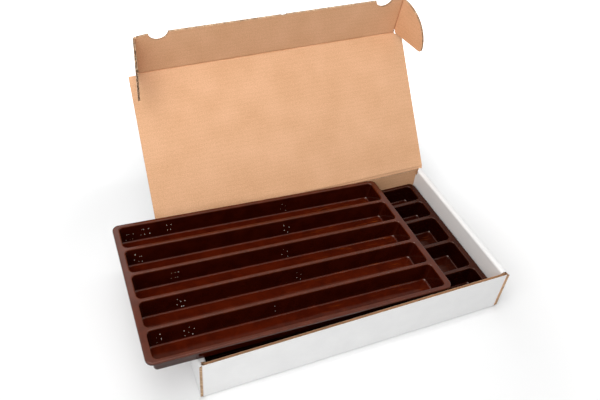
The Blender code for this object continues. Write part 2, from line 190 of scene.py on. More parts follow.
class Finish(Nodes):
    def __init__(self, name, **constants):
        self.material = bpy.data.materials.new(name)
        self.material.use_nodes = True
        super().__init__(self.material.node_tree)
        self.shader = self.tree.nodes["Principled BSDF"]
        for socket, value in constants.items():
            self.feed(socket.replace("_", " "), value)

    def feed(self, socket, value):
        self.plug(self.shader.inputs[socket], value)

    def mark(self, name, output="Vector"):
        """A named attribute of the mesh."""
        return self.node("ShaderNodeAttribute", {"attribute_name": name}, output=output)

    def part(self, place, axis):
        return self.node("ShaderNodeSeparateXYZ", {}, place, output=axis)

    def noise(self, at, scale, detail, roughness):
        """Noise with one scale, or with a scale for each axis."""
        if isinstance(scale, tuple):
            at = self.node("ShaderNodeVectorMath", {"operation": "MULTIPLY"}, at, scale)
            scale = 1
        return self.node("ShaderNodeTexNoise", {}, Vector=at, Scale=scale, Detail=detail,
                         Roughness=roughness)

    def blend(self, factor, first, second):
        """The first colour where the factor is 0, and the second where it is 1."""
        mixed = self.node("ShaderNodeMix", {"data_type": "RGBA"}, factor, output=MIX_COLOUR)
        inputs = mixed.socket.node.inputs
        self.plug(inputs[MIX_FIRST], first)
        self.plug(inputs[MIX_SECOND], second)
        return mixed

    def bump(self, height, strength, distance):
        return self.node("ShaderNodeBump", {}, Height=height, Strength=strength, Distance=distance)


# %% [markdown]
# Corrugated board shows three finishes. The outside liner is clay-white, the inside liner is
# brown kraft, and where the board is cut, bare fibres show. Each piece of board carries an
# attribute named blank: how far a point lies along the flutes, how far across them, and a number
# of its own. The finishes read it, so the faint ribs of the flutes follow every fold, which a
# pattern on Object coordinates wouldn't do.

# %% Kraft liner
FLUTE_PITCH = 0.0062
PAPER_RELIEF = 0.0001
KRAFT_DARK, KRAFT_PALE = (0.610, 0.322, 0.158), (0.800, 0.464, 0.272)
KRAFT_SPECK = (0.42, 0.22, 0.11)
KRAFT_GRAIN = (640, 760, 600)


def rib_wave(finish, place):
    """The wave of the flutes under a liner, from -1 to 1."""
    return (finish.part(place, "Y") * (2 * math.pi / FLUTE_PITCH)).wave()


def kraft_paper():
    finish = Finish("kraft_liner")
    place = finish.mark("blank")
    ribs = rib_wave(finish, place)
    cloud = finish.noise(place, scale=22, detail=3, roughness=0.55)
    fibre = finish.noise(place, scale=KRAFT_GRAIN, detail=3, roughness=0.75)
    specks = finish.noise(place, scale=1500, detail=1, roughness=0.5).above(0.66, 0.74)
    tone = cloud * 0.25 + fibre * 0.75 + ribs * 0.012
    colour = finish.blend(tone.above(0.32, 0.68), KRAFT_DARK, KRAFT_PALE)
    finish.feed("Base Color", finish.blend(specks * 0.3, colour, KRAFT_SPECK))
    finish.feed("Roughness", fibre * 0.14 + 0.74)
    height = ribs * 0.18 + fibre * 0.5
    finish.feed("Normal", finish.bump(height, strength=0.3, distance=PAPER_RELIEF))
    return finish.material


kraft_liner = kraft_paper()
print("inside:", kraft_liner.name)

# %% [markdown]
# The white liner is smoother than kraft, and its ribs show only as a soft play of light. A cut
# edge is the opposite: lumps of crushed brown fibre with dark gaps, and no gloss at all.

# %% White liner and cut board
WHITE_DARK, WHITE_PALE = (0.785, 0.785, 0.785), (0.835, 0.835, 0.832)
WHITE_GRAIN = (1800, 600, 700)
FIBRE_DARK, FIBRE_PALE = (0.20, 0.11, 0.055), (0.74, 0.52, 0.33)
FIBRE_RELIEF = 0.0003


def white_paper():
    finish = Finish("white_liner")
    place = finish.mark("blank")
    ribs = rib_wave(finish, place)
    cloud = finish.noise(place, scale=30, detail=3, roughness=0.6)
    fibre = finish.noise(place, scale=WHITE_GRAIN, detail=2, roughness=0.6)
    tone = cloud * 0.6 + fibre * 0.4
    finish.feed("Base Color", finish.blend(tone.above(0.3, 0.7), WHITE_DARK, WHITE_PALE))
    finish.feed("Roughness", fibre * 0.2 + 0.5)
    height = ribs * 0.4 + fibre * 0.5 + cloud * 0.6
    finish.feed("Normal", finish.bump(height, strength=0.3, distance=PAPER_RELIEF))
    return finish.material


def raw_fibres():
    finish = Finish("cut_board", Roughness=0.95)
    place = finish.mark("blank")
    lumps = finish.noise(place, scale=420, detail=3, roughness=0.7)
    fibre = finish.noise(place, scale=2600, detail=2, roughness=0.7)
    tone = lumps * 0.6 + fibre * 0.4
    finish.feed("Base Color", finish.blend(tone.above(0.35, 0.65), FIBRE_DARK, FIBRE_PALE))
    finish.feed("Normal", finish.bump(tone, strength=0.6, distance=FIBRE_RELIEF))
    return finish.material


white_liner, cut_board = white_paper(), raw_fibres()
WHITE, KRAFT, RAW = 0, 1, 2
board_finishes = (white_liner, kraft_liner, cut_board)
print("board finishes:", [finish.name for finish in board_finishes])

# %% [markdown]
# Everything below is modelled as by hand: a primitive at its place, then operators on picked
# edges and faces. An operator acts on all that is picked, so these helpers pick by place.


# %% Helpers for picking
def alone(piece):
    """Select one piece and nothing else."""
    bpy.ops.object.select_all(action="DESELECT")
    piece.select_set(True)
    bpy.context.view_layer.objects.active = piece


def fresh(add, **settings):
    """A new primitive, with nothing else selected."""
    bpy.ops.object.select_all(action="DESELECT")
    add(**settings)
    return bpy.context.object


def middle_of(edge):
    start, end = edge.verts
    return (start.co + end.co) / 2


def pick(rule):
    """Pick the edges that pass a rule, and nothing else."""
    bpy.ops.mesh.select_mode(type="EDGE")
    bpy.ops.mesh.select_all(action="DESELECT")
    mesh = bpy.context.object.data
    shell = bmesh.from_edit_mesh(mesh)
    for edge in shell.edges:
        if rule(edge):
            edge.select_set(True)
    bmesh.update_edit_mesh(mesh)


# %% [markdown]
# A modifier is applied as soon as it is set, so the next step meets a plain mesh. A flat primitive
# of size 1 is laid on a panel by one matrix, made of the panel's run, its span and what stands
# upright on both.


# %% Helpers for shaping
def apply(piece, kind, **settings):
    """Add a modifier, set it and apply it."""
    alone(piece)
    change = piece.modifiers.new(kind.lower(), kind)
    for setting, value in settings.items():
        setattr(change, setting, value)
    bpy.ops.object.modifier_apply(modifier=change.name)


def join(name, pieces):
    alone(pieces[0])
    for piece in pieces[1:]:
        piece.select_set(True)
    bpy.ops.object.join()
    pieces[0].name = name
    return pieces[0]


def frame_of(x, y, z):
    """The matrix whose columns are three directions."""
    return Matrix((x, y, z)).transposed().to_4x4()


def stretch(piece, corner, run, span):
    """Lay a primitive of size 1 over the rectangle from a corner along a run and a span."""
    turned = frame_of(run, span, run.cross(span).normalized())
    piece.data.transform(Matrix.Translation(corner + (run + span) / 2) @ turned)


# %% [markdown]
# A liner is a sheet of paper that turns at each fold. It starts as a plane on the first panel. Its
# far edge is extruded once for each next panel, and then the fold edges are bevelled round. This
# way the paper stays one surface round the fold, as on the real board.

# %% Folded paper
FOLD_SEGMENTS = 6


def folded_sheet(section, span, radius):
    """Paper along a section, as wide as the span. Its front faces the run crossed with the span."""
    piece = fresh(bpy.ops.mesh.primitive_plane_add, size=1)
    stretch(piece, section[0], section[1] - section[0], span)
    bpy.ops.object.mode_set(mode="EDIT")
    for here, there in zip(section[1:], section[2:]):
        middle = here + span / 2
        pick(lambda edge: (middle_of(edge) - middle).length < SNAP)
        bpy.ops.mesh.extrude_region_move(TRANSFORM_OT_translate={"value": there - here})
    if len(section) > 2:
        folds = [corner + span / 2 for corner in section[1:-1]]
        pick(lambda edge: any((middle_of(edge) - fold).length < SNAP for fold in folds))
        bpy.ops.mesh.bevel(offset=radius, segments=FOLD_SEGMENTS, affect="EDGES")
    bpy.ops.object.mode_set(mode="OBJECT")
    return piece


# %% [markdown]
# Each liner gets its thickness from Solidify, inwards from the face that shows. The modifier also
# gives the sheet's back and its cut rim their own finish, through material offsets. The inner
# liner follows the outer one at the board's thickness, so its corners are moved in by a mitre.

# %% Liners
LINER = 0.00035
INNER_FOLD = 0.0003


def dress(piece, first):
    """Board slots on a piece, with all its faces in one of them."""
    piece.data.materials.clear()
    for finish in board_finishes:
        piece.data.materials.append(finish)
    for face in piece.data.polygons:
        face.material_index = first


def liner(section, span, radius, front, back, outwards=False):
    """A sheet with a thickness, outwards or inwards from its front, and a raw rim."""
    piece = folded_sheet(section, span, radius)
    dress(piece, front)
    side = 1 if outwards else -1
    apply(piece, "SOLIDIFY", thickness=LINER, offset=side, use_even_offset=True,
          material_offset=back - front, material_offset_rim=RAW - front)
    return piece


def inset(section, span, depth):
    """The section moved in from the face of the board by a depth."""
    faces = [(there - here).cross(span).normalized() for here, there in zip(section, section[1:])]
    moved = [section[0] - faces[0] * depth]
    for corner, before, after in zip(section[1:-1], faces, faces[1:]):
        moved.append(corner - (before + after) * depth / (1 + before.dot(after)))
    return moved + [section[-1] - faces[-1] * depth]


# %% [markdown]
# Between the liners lies the medium, a paper pressed into waves. A grid with enough rows is bent
# by a cosine, which is close to the real flute, and shows wherever the board is cut across it.

# %% Flutes
FLUTE_PAPER = 0.0002
FLUTE_STEPS = 8


def flutes(corner, run, span):
    """The fluted paper of a flat panel, in its middle plane. The flutes lie along the run."""
    rows = max(round(span.length / FLUTE_PITCH * FLUTE_STEPS), 2)
    piece = fresh(bpy.ops.mesh.primitive_grid_add, x_subdivisions=1, y_subdivisions=rows, size=1)
    rise = BOARD / 2 - LINER - FLUTE_PAPER
    for vertex in piece.data.vertices:
        across = (vertex.co.y + 0.5) * span.length
        vertex.co.z = rise * math.cos(2 * math.pi * across / FLUTE_PITCH)
    stretch(piece, corner, run, span)
    dress(piece, RAW)
    apply(piece, "SOLIDIFY", thickness=FLUTE_PAPER, offset=0, use_even_offset=True)
    return piece


# %% [markdown]
# A cut along the flutes is pressed shut by the knife, so torn fibres close the edge a little below
# the liners' ends. A narrow grid with a wobble from two noises, one coarse and one fine, looks like
# them, and unlike a flat strip it catches the light unevenly.

# %% Crushed edges and whole board
FIBRE_GRID = 0.0016
FIBRE_ROWS = 3
COARSE_WOBBLE, FINE_WOBBLE = 420, 1300
FINE_SHARE = 0.6
WOBBLE_SHARE = 0.8


def crushed_edge(corner, run, face, depth):
    """Pressed fibres along a cut, set in by a depth. The face points from liner to liner."""
    steps = max(round(run.length / FIBRE_GRID), 2)
    piece = fresh(bpy.ops.mesh.primitive_grid_add, x_subdivisions=steps, y_subdivisions=FIBRE_ROWS, size=1)
    span = face.normalized() * (BOARD - 2 * LINER)
    stretch(piece, corner + face.normalized() * LINER, run, span)
    for vertex in piece.data.vertices:
        wobble = noise.noise(vertex.co * COARSE_WOBBLE) + FINE_SHARE * noise.noise(vertex.co * FINE_WOBBLE)
        vertex.co += depth.normalized() * (depth.length * (1 + WOBBLE_SHARE * wobble))
    dress(piece, RAW)
    apply(piece, "SOLIDIFY", thickness=FLUTE_PAPER, offset=0)
    return piece


def board(section, span, lips=()):
    """The layers of corrugated board along a section. Its flutes follow the section."""
    layers = [liner(section, span, BOARD, WHITE, KRAFT),
              liner(inset(section, span, BOARD), span, INNER_FOLD, KRAFT, KRAFT, outwards=True)]
    middle = inset(section, span, BOARD / 2)
    for number, (here, there) in enumerate(zip(middle, middle[1:])):
        way = (there - here).normalized()
        start = here + way * (BOARD if number else 0)
        end = there - way * (BOARD if number < len(middle) - 2 else 0)
        layers.append(flutes(start, end - start, span))
    for lip in lips:
        layers.append(crushed_edge(*lip))
    return layers


# %% [markdown]
# Cuts are made with stencils: an outline, filled and given a depth, that is taken away from the
# board or keeps only what lies in it. The cut faces take the stencil's finish, the bare fibres.


# %% Stencils
def stencil(outline, low, high):
    """A closed cutter with an outline in X and Y."""
    curve = bpy.data.curves.new("stencil", "CURVE")
    curve.dimensions = "2D"
    curve.fill_mode = "BOTH"
    curve.extrude = (high - low) / 2
    line = curve.splines.new("POLY")
    line.points.add(len(outline) - 1)
    for point, (x, y) in zip(line.points, outline):
        point.co = (x, y, 0, 1)
    line.use_cyclic_u = True
    piece = bpy.data.objects.new("stencil", curve)
    bpy.context.scene.collection.objects.link(piece)
    alone(piece)
    bpy.ops.object.convert(target="MESH")
    piece = bpy.context.object
    piece.data.transform(Matrix.Translation((0, 0, (high + low) / 2)))
    bpy.ops.object.mode_set(mode="EDIT")
    bpy.ops.mesh.select_all(action="SELECT")
    bpy.ops.mesh.remove_doubles(threshold=SNAP)
    bpy.ops.mesh.normals_make_consistent(inside=False)
    bpy.ops.object.mode_set(mode="OBJECT")
    return piece


def cut(piece, cutter, operation="DIFFERENCE"):
    dress(cutter, RAW)
    apply(piece, "BOOLEAN", operation=operation, solver="EXACT", object=cutter)
    bpy.data.objects.remove(cutter, do_unlink=True)


def box_stencil(corner, opposite):
    """A block between two opposite corners."""
    (x0, x1), (y0, y1), (z0, z1) = (sorted(ends) for ends in zip(corner, opposite))
    return stencil([(x0, y0), (x1, y0), (x1, y1), (x0, y1)], z0, z1)


# %% [markdown]
# A piece of board gets its blank attribute before it is laid in its place, and is shaded smooth
# round its folds only. Its object stays at the origin, and the place is in its mesh. Then it
# rides the body that carries it.

# %% Finishing a piece of board
FOLD_SMOOTH = math.radians(40)
OWN_SHIFT = 0.37


def mark_points(piece, name, place_of):
    """Keep on each point what a function makes of its place, for a finish to read."""
    kept = piece.data.attributes.new(name, "FLOAT_VECTOR", "POINT")
    for vertex, value in zip(piece.data.vertices, kept.data):
        value.vector = place_of(vertex.co)


def lay(piece, place, smooth=FOLD_SMOOTH):
    """Move a mesh to its place, and shade it smooth but for edges sharper than an angle."""
    piece.data.transform(place)
    alone(piece)
    bpy.ops.object.shade_smooth_by_angle(angle=smooth)
    print(piece.name, len(piece.data.polygons), "faces")


def finish_board(piece, number, flat, place=Matrix()):
    """Mark the blank, from each point's place in the flat and a shift of the piece's own, and lay it."""
    mark_points(piece, "blank", lambda at: (*flat(at), OWN_SHIFT * number))
    lay(piece, place)


def put(piece, body, slot, *nodes):
    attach(piece, body)
    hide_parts(*nodes)


# %% [markdown]
# The base is the panel that everything folds up from. Its outside liner runs round the bottom
# edges into the walls, along both directions. Its inside is bare kraft, with four slots for the
# inner walls' tabs. The blank's corners are cut away there, so a small notch stays at each one.

# %% Base
TAB_SPREAD = 0.096
TAB_LENGTH = 0.030
TAB_ROOM = 0.001
SLOT_ROOM = 0.0003
FOLD_WIDTH = FLAP_FACE - BOARD
ROUND_FOLD = 0.997 * BOARD
inner_length = HALF_LENGTH - BOARD
inner_width = HALF_WIDTH - BOARD


def base_layers():
    """The outside liner in three strips, the inside liner and the flutes."""
    span = -2 * inner_width * Y
    left, right = (Vector((side * HALF_LENGTH, inner_width, 0)) for side in (-1, 1))
    across = [left + BOARD * Z, left, right, right + BOARD * Z]
    layers = [liner(across, span, ROUND_FOLD, WHITE, KRAFT)]
    for way in (-1, 1):
        start = Vector((-way * FOLD_WIDTH, way * inner_width, 0))
        turn = start + way * BOARD * Y
        width = way * 2 * FOLD_WIDTH * X
        layers.append(liner([start, turn, turn + BOARD * Z], width, ROUND_FOLD, WHITE, KRAFT))
    corner = Vector((-inner_length, inner_width, BOARD))
    run = 2 * inner_length * X
    layers.append(liner([corner, corner + run], span, INNER_FOLD, KRAFT, KRAFT, outwards=True))
    layers.append(flutes(corner - BOARD / 2 * Z, run, span))
    return layers


def make_base():
    base = join("base", base_layers())
    reach = TAB_LENGTH / 2 + TAB_ROOM
    for side in (-1, 1):
        near, far = side * (INNER_FACE - SLOT_ROOM), side * (INNER_FACE + BOARD + SLOT_ROOM)
        for place in (-1, 1):
            middle = place * TAB_SPREAD / 2
            cut(base, box_stencil((near, middle - reach, -BOARD), (far, middle + reach, 2 * BOARD)))
    finish_board(base, 1, lambda at: (at.x, at.y))
    put(base, "box", "kraft_board", "base_panel")


make_base()

# %% [markdown]
# The front and back walls each fold round into two corner flaps, which the side walls hide. Both
# are one strip of board in plan: flap, wall, flap. The front wall's top is a raw cut along the
# flutes, where the crushed brown fibres show between two thin paper lines. The back wall ends
# below the lid's crease. The flaps are cut a little lower than the walls.

# %% Front and back walls with their corner flaps
CREASE_REACH = 0.003
CREASE_TOP = lid_joint["pos_m"][2] - CREASE_REACH
EDGE_SINK = 0.0003
FLAP_CUT_START = 0.01


def make_end_wall(name, way, top, lips, number, nodes):
    corners = [(way * FLAP_FACE, way * -FLAP_TIP), (way * FLAP_FACE, way * HALF_WIDTH),
               (-way * FLAP_FACE, way * HALF_WIDTH), (-way * FLAP_FACE, way * -FLAP_TIP)]
    section = [Vector((x, y, BOARD)) for x, y in corners]
    wall = join(name, board(section, (top - BOARD) * Z, lips))
    near, far = way * FLAP_CUT_START, way * inner_width
    cut(wall, box_stencil((-HALF_LENGTH, near, FLAP_TOP), (HALF_LENGTH, far, 2 * HEIGHT)))
    finish_board(wall, number, lambda at: (at.x + at.y, at.z))
    put(wall, "box", "white_board", *nodes)


top_lip = (Vector((-FOLD_WIDTH, -HALF_WIDTH, HEIGHT)), 2 * FOLD_WIDTH * X, Y, -EDGE_SINK * Z)
make_end_wall("front_wall_board", -1, HEIGHT, [top_lip], 2,
              ["front_wall", "front_left_corner_flap", "front_right_corner_flap"])
make_end_wall("back_wall_board", 1, CREASE_TOP, [], 3,
              ["back_wall", "back_left_corner_flap", "back_right_corner_flap"])

# %% [markdown]
# A side wall is one strip that goes up outside, rolls over the top in a narrow band, and comes
# down inside, where two tabs lock it in the base. Its flutes stand upright. In front, the band
# and the inner ply stop short of the front wall, and only the outer ply runs out flush with it.
# Behind, the inner ply ends before the back wall, and the band is cut at a slant.

# %% Side walls
BAND_GAP = 0.0015
BAND_FRONT = -HALF_WIDTH + BOARD + BAND_GAP
BAND_SLANT = 0.0005
PLY_SLIT = 0.0004
SLANT_RUN = 3 * BOARD


def side_lips(side):
    """The crushed edges at the front and back of an outer ply."""
    rise = (HEIGHT - 2 * BOARD) * Z
    lips = []
    for way in (-1, 1):
        foot = Vector((side * HALF_LENGTH, way * (HALF_WIDTH - EDGE_SINK), BOARD))
        lips.append((foot + way * EDGE_SINK * Y, rise, -side * X, -way * EDGE_SINK * Y))
    return lips


def make_side_wall(name, side, number, nodes):
    points = [(HALF_LENGTH, BOARD), (HALF_LENGTH, HEIGHT), (INNER_FACE, HEIGHT), (INNER_FACE, INNER_FOOT)]
    section = [Vector((side * x, side * HALF_WIDTH, z)) for x, z in points]
    wall = join(name, board(section, -side * 2 * HALF_WIDTH * Y, side_lips(side)))
    near, past = side * inner_length, side * (INNER_FACE - BOARD)
    ply = side * (inner_length - PLY_SLIT - BOARD)
    cut(wall, box_stencil((near, -2 * HALF_WIDTH, -BOARD), (past, BAND_FRONT, 2 * HEIGHT)))
    cut(wall, box_stencil((ply, INNER_END, -BOARD), (past, 2 * HALF_WIDTH, HEIGHT - SLANT_RUN)))
    tab_near, tab_far = (TAB_SPREAD - TAB_LENGTH) / 2, (TAB_SPREAD + TAB_LENGTH) / 2
    for low, high in ((-HALF_WIDTH, -tab_far), (-tab_near, tab_near), (tab_far, HALF_WIDTH)):
        cut(wall, box_stencil((ply, low, -BOARD), (past, high, BOARD + SLOT_ROOM)))
    slant = HALF_WIDTH - BAND_SLANT
    wedge = [(near, slant), (past, slant - SLANT_RUN), (past, 2 * HALF_WIDTH), (near, 2 * HALF_WIDTH)]
    cut(wall, stencil(wedge, HEIGHT - SLANT_RUN - SNAP, 2 * HEIGHT))
    finish_board(wall, number, lambda at: (at.z + HALF_LENGTH - abs(at.x), at.y))
    put(wall, "box", "white_board", *nodes)


for side, hand, number in ((-1, "left", 4), (1, "right", 5)):
    make_side_wall(hand + "_side_wall", side, number,
                   [hand + "_outer_wall", hand + "_top_band", hand + "_inner_wall"])

# %% [markdown]
# The lid, the tuck flap and the ears are drawn flat, as cut, and then laid on the planes that the
# hinge lines give. Each has its own frame: X along the crease that it hangs from, or out from it
# on an ear, and -Y away from the lid's hinge, with the white face up.

# %% Frames of the folded panels
lid_hinge = Vector(lid_joint["pos_m"])
flap_hinge = Vector(flap_joint["pos_m"])
ear_crease = Vector(left_joint["axis"]).normalized()
ear_reach = Vector(right_joint["pos_m"]).x
lid_depth = (flap_hinge - lid_hinge).length


def panel_frame(origin, right, away):
    """A frame with -Y along away."""
    back = -away.normalized()
    return Matrix.Translation(origin) @ frame_of(right, back, right.cross(back))


def ear_frame(name, side):
    """An ear's frame, from where the middle of its solid lies beside its crease."""
    origin = flap_hinge + side * ear_reach * X
    corners = [vertex.co for vertex in frame["nodes"][name].data.vertices]
    out = sum(corners, Vector()) / len(corners) - origin
    out = (out - out.dot(ear_crease) * ear_crease).normalized()
    return panel_frame(origin, side * out, ear_crease)


lid_frame = panel_frame(lid_hinge, X, flap_hinge - lid_hinge)
flap_frame = panel_frame(flap_hinge, X, ear_crease)
print("lid depth", round(lid_depth, 4), "ears at", round(ear_reach, 4))

# %% [markdown]
# The lid is a plain rectangle of board between two creases. Its ends are cut across the flutes,
# so the wave of the fluted paper shows there.

# %% Lid
LID_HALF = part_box("lid_panel")[1].x


def flat_board(name, half_low, half_high, near, far):
    """Board that lies flat in a panel's frame, from near to far along -Y."""
    section = [Vector((half_low, -far, BOARD / 2)), Vector((half_high, -far, BOARD / 2))]
    return join(name, board(section, (far - near) * Y))


lid = flat_board("lid_board", -LID_HALF, LID_HALF, CREASE_REACH, lid_depth - CREASE_REACH)
finish_board(lid, 6, lambda at: (at.x, at.y), lid_frame)
put(lid, "lid", "kraft_board", "lid_panel")

# %% [markdown]
# The tuck flap's free edge drops a little towards its ends, and has two round bites for the
# thumbs, which are cut with a cylinder primitive. Near its middle the edge has a small torn nick.
# The crushed fibres are added after the cuts, in lengths that leave the bites and the nick free.

# %% Tuck flap's outline
FLAP_HEIGHT = 0.0605
EAR_RADIUS = 0.0562
EAR_GAP = 0.0003
EAR_SET_BACK = BOARD / 2 + EAR_GAP
FLAP_SHOULDER = 0.018
NOTCH_SPREAD = 0.316
NOTCH_WIDTH = 0.026
NOTCH_DEPTH = 0.0105
NOTCH_SIDES = 72
NICK_FROM, NICK_TO, NICK_DEPTH = 0.004, 0.013, 0.0013


def thumb_notch(side):
    half = NOTCH_WIDTH / 2
    radius = (half * half + NOTCH_DEPTH * NOTCH_DEPTH) / (2 * NOTCH_DEPTH)
    cutter = fresh(bpy.ops.mesh.primitive_cylinder_add, vertices=NOTCH_SIDES, radius=radius, depth=4 * BOARD)
    middle = (side * NOTCH_SPREAD / 2, -FLAP_HEIGHT + NOTCH_DEPTH - radius, 0)
    cutter.data.transform(Matrix.Translation(middle))
    return cutter


def shoulder_cut(side, shoulder):
    """What is cut away where the free edge drops towards an ear."""
    drop = FLAP_HEIGHT - EAR_SET_BACK - EAR_RADIUS
    past = side * (ear_reach + FLAP_SHOULDER)
    return stencil([(side * shoulder, -FLAP_HEIGHT - SNAP), (side * shoulder, -2 * FLAP_HEIGHT),
                    (past, -2 * FLAP_HEIGHT), (past, -FLAP_HEIGHT + 2 * drop)], -BOARD, BOARD)


def torn_nick():
    """A shallow, uneven tear: where its points lie along the edge, and their share of its depth."""
    torn = ((NICK_TO - NICK_DEPTH, 0.7), (NICK_FROM + 3 * NICK_DEPTH, 1), (NICK_FROM + NICK_DEPTH, 0.4))
    outline = [(NICK_FROM, -FLAP_HEIGHT - BOARD), (NICK_TO, -FLAP_HEIGHT - BOARD)]
    outline += [(x, -FLAP_HEIGHT + share * NICK_DEPTH) for x, share in torn]
    return stencil(outline, -BOARD, BOARD)


# %% [markdown]
# The flap is cut out first and joined with its crushed fibres last, because a cut through those
# thin, wavy strips would leave stray faces.


# %% Tuck flap
def make_flap():
    reach = ear_reach - CREASE_REACH
    flap = flat_board("tuck_flap_board", -reach, reach, CREASE_REACH, FLAP_HEIGHT)
    shoulder = ear_reach - FLAP_SHOULDER
    for side in (-1, 1):
        cut(flap, shoulder_cut(side, shoulder))
        cut(flap, thumb_notch(side))
    cut(flap, torn_nick())
    stops = [-shoulder, -(NOTCH_SPREAD + NOTCH_WIDTH) / 2, -(NOTCH_SPREAD - NOTCH_WIDTH) / 2]
    stops += [NICK_FROM, NICK_TO] + [-stop for stop in reversed(stops)]
    lips = [crushed_edge(Vector((near, -FLAP_HEIGHT, -BOARD / 2)), (far - near) * X, Z, EDGE_SINK * Y)
            for near, far in zip(stops[::2], stops[1::2])]
    join("tuck_flap_board", [flap] + lips)
    finish_board(flap, 7, lambda at: (at.x, at.y), flap_frame)
    put(flap, "flap", "kraft_board", "tuck_flap")


make_flap()

# %% [markdown]
# An ear is a quarter circle about the end of the flap's crease, with a small round on its tip. It
# is drawn as a rectangle of board, and a stencil keeps what lies in the quarter. The curved edge
# cuts the flutes at every angle.

# %% Ears
TIP_ROUND = 0.004
TIP_STEPS, ROUND_STEPS = 6, 40


def arc(centre, radius, start, sweep, steps):
    """The points of an arc, from a start angle over a sweep."""
    angles = [start + sweep * step / steps for step in range(steps + 1)]
    return [(centre[0] + radius * math.cos(a), centre[1] + radius * math.sin(a)) for a in angles]


def ear_outline(side):
    lean = math.asin(TIP_ROUND / (EAR_RADIUS - TIP_ROUND))
    tip = ((EAR_RADIUS - TIP_ROUND) * math.cos(lean), TIP_ROUND)
    shape = [(-BOARD, SNAP)] + arc(tip, TIP_ROUND, -math.pi / 2, math.pi / 2 + lean, TIP_STEPS)
    shape += arc((0, 0), EAR_RADIUS, lean, math.pi / 2 - lean, ROUND_STEPS)[1:]
    shape.append((-BOARD, EAR_RADIUS))
    return [(side * x, -EAR_SET_BACK - y) for x, y in shape]


def make_ear(name, side, number):
    long_edge = Vector((CREASE_REACH, -EAR_SET_BACK - EAR_RADIUS, BOARD / 2))
    section = [long_edge, long_edge + (EAR_RADIUS - CREASE_REACH) * X]
    if side < 0:
        section = [Vector((-corner.x, corner.y, corner.z)) for corner in reversed(section)]
    ear = join(name + "_board", board(section, EAR_RADIUS * Y))
    cut(ear, stencil(ear_outline(side), -BOARD, BOARD), "INTERSECT")
    finish_board(ear, number, lambda at: (at.x, at.y), ear_frame(name, side))
    put(ear, name, "kraft_board", name)


make_ear("left_ear", -1, 8)
make_ear("right_ear", 1, 9)

# %% [markdown]
# At a crease that moves, the board is pressed thin, and both liners run across. Each crease is a
# grid with the board's thickness, squeezed in the middle and bent to the angle at which it
# rests.

# %% A crease
CREASE_COLUMNS, CREASE_ROWS = 12, 14
CREASE_SQUEEZE = 0.62
CREASE_HALF = 0.0011
BEND_STEEPNESS = 1.8


def squeeze_and_bend(crease, fold):
    """Press a flat crease thin along its line, and bend it with a smooth start and end."""
    for vertex in crease.data.vertices:
        gone = (CREASE_REACH - vertex.co.y) / (2 * CREASE_REACH)
        share = min(max((gone - 0.5) * BEND_STEEPNESS + 0.5, 0), 1)
        share = share * share * (3 - 2 * share)
        vertex.co.z *= 1 - CREASE_SQUEEZE * math.exp(-((vertex.co.y / CREASE_HALF) ** 2))
        vertex.co = Matrix.Rotation(fold * share, 3, "X") @ vertex.co


def make_crease(name, place, fold, low, high, number):
    """A crease along X of a frame. The next panel leaves it along -Y, turned by the fold."""
    crease = fresh(bpy.ops.mesh.primitive_grid_add, size=1,
                   x_subdivisions=CREASE_COLUMNS, y_subdivisions=CREASE_ROWS)
    crease.name = name
    stretch(crease, Vector((low, -CREASE_REACH, 0)), (high - low) * X, 2 * CREASE_REACH * Y)
    dress(crease, WHITE)
    apply(crease, "SOLIDIFY", thickness=BOARD, offset=0, material_offset=KRAFT, material_offset_rim=RAW)
    mark_points(crease, "blank", lambda at: (at.x, at.y, OWN_SHIFT * number))
    squeeze_and_bend(crease, fold)
    lay(crease, place)
    before = place.to_3x3() @ Y
    after = place.to_3x3() @ (Matrix.Rotation(fold, 3, "X") @ -Y)
    line = (after - before).normalized()
    reach = CREASE_REACH * math.cos(fold / 2) - BOARD / 2 * abs(math.sin(fold / 2))
    middle = place.translation
    middle - reach * line
    middle + reach * line
    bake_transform(crease)


# %% [markdown]
# The lid's crease lies on top of the back wall, and the flap's on the lid's front edge. The angle
# of each is measured between the planes that meet there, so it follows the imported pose.

# %% Creases of the lid and the flap
wall_frame = Matrix.Translation(lid_hinge) @ frame_of(X, -Z, Y)
flap_crease_frame = lid_frame @ Matrix.Translation((0, -lid_depth, 0))
lid_fold = lid_frame.to_3x3().col[1].angle(-Z)
flap_fold = flap_frame.to_3x3().col[1].angle(lid_frame.to_3x3().col[1])
make_crease("lid_crease", wall_frame, -lid_fold, -LID_HALF, LID_HALF, 10)
make_crease("tuck_flap_crease", flap_crease_frame, flap_fold, -ear_reach, ear_reach, 11)

# %% [markdown]
# An ear's crease runs up the end of the flap, so its frame is the flap's, moved to that end and
# given a quarter turn.

# %% Creases of the ears
for side, name, number in ((-1, "left_ear", 12), (1, "right_ear", 13)):
    fold = ear_frame(name, side).to_3x3().col[0].angle(flap_frame.to_3x3().col[0])
    quarter = Matrix.Rotation(side * math.pi / 2, 4, "Z")
    place = flap_frame @ Matrix.Translation((side * ear_reach, 0, 0)) @ quarter
    low, high = sorted((-side * (EAR_SET_BACK + BOARD), -side * (EAR_SET_BACK + EAR_RADIUS)))
    make_crease(name + "_crease", place, fold, low, high, number)

# %% [markdown]
# The lower tray lies straight in the box and stands on a skirt as deep as itself. The upper one
# lies askew over it and over the left wall, and has only a short turned-down edge. A tray's frame
# comes from its solid: the spread of the solid's corners gives its long, wide and upright
# directions, however it lies.

# %% Tray sizes and places
TRAY_SHEET = 0.0008
END_RIM = 0.008
SIDE_RIM = 0.005
LOWER_SHARES, LOWER_DIVIDER = (27, 27, 40, 40, 27), 0.0047
UPPER_SHARES, UPPER_DIVIDER, UPPER_SKIRT = (1, 1, 1, 1, 1), 0.0041, 0.0032
SAME_PLACE_DIGITS = 7


